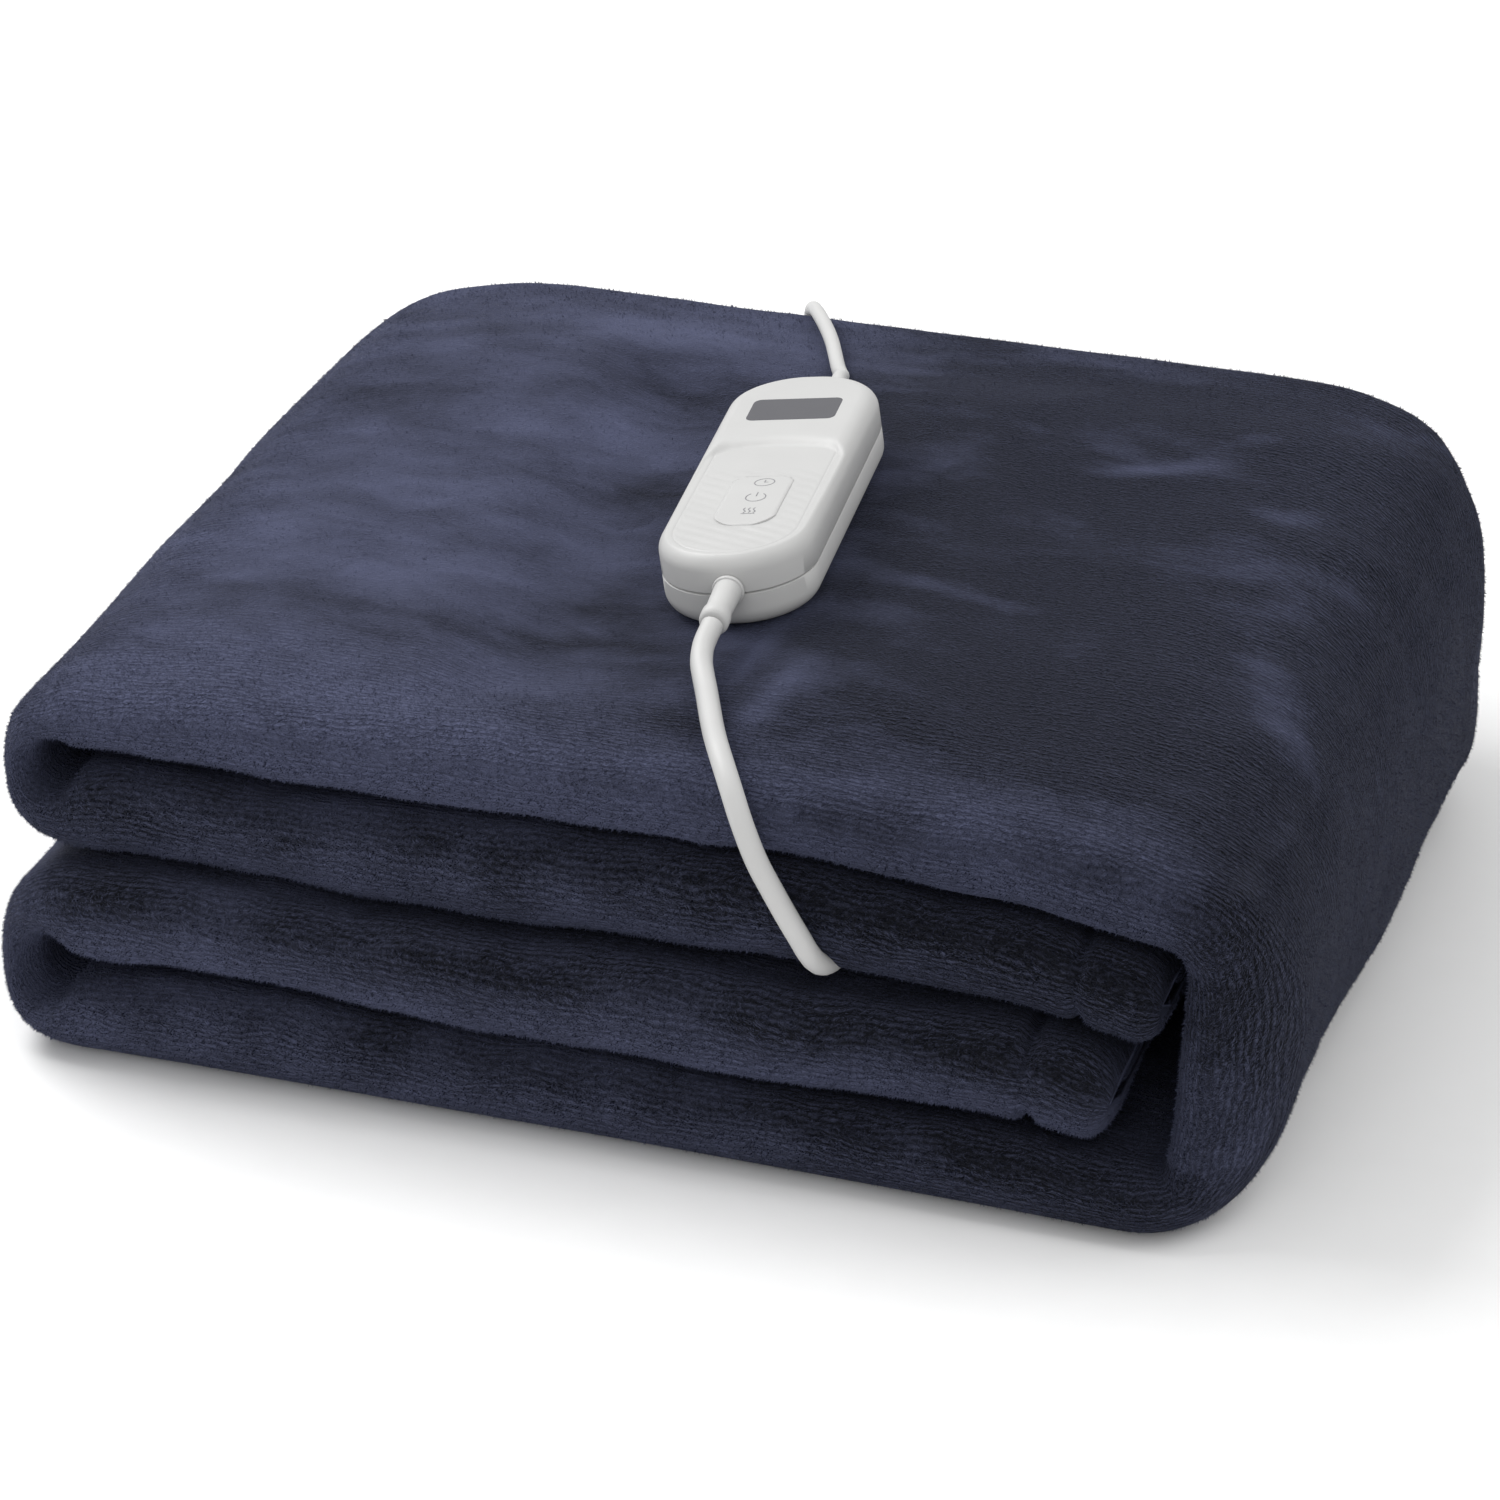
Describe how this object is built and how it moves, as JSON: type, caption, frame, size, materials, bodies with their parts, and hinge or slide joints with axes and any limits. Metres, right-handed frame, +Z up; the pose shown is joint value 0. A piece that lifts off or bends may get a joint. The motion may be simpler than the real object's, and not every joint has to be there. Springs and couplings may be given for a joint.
{
  "type": "electric heated blanket",
  "caption": "Folded plush heated throw with a white hand controller lying on top, its lead running into the folds, and a coiled mains lead with a flat plug.",
  "frame": {"origin": "middle of the folded blanket's underside, on the surface that it rests on", "axes": "+X along the pack's front edge towards the wrap, -Y out of the front where the layers' edges show, +Z up"},
  "size_m": [0.41, 0.4624, 0.1568],
  "materials": {
    "navy_plush": "short dense plush pile with nap",
    "white_plastic": "smooth satin",
    "display_grey": "smooth dark window",
    "white_key_pad": "fine satin",
    "white_relief": "smooth flexible moulding",
    "white_cord": "smooth sheath",
    "plug_metal": "plated pins"
  },
  "bodies": {
    "root": {"blanket": "navy_plush", "controller_base": "white_plastic", "controller_cover": "white_plastic", "display_window": "display_grey", "key_pad": "white_key_pad", "lead_relief": "white_relief", "mains_relief": "white_relief", "blanket_lead": "white_cord", "mains_lead": "white_cord", "mains_coil": "white_cord", "mains_tail": "white_cord", "plug_relief": "white_cord", "plug_body": "white_cord", "plug_pin_left": "plug_metal", "plug_pin_right": "plug_metal"}
  },
  "joints": []
}
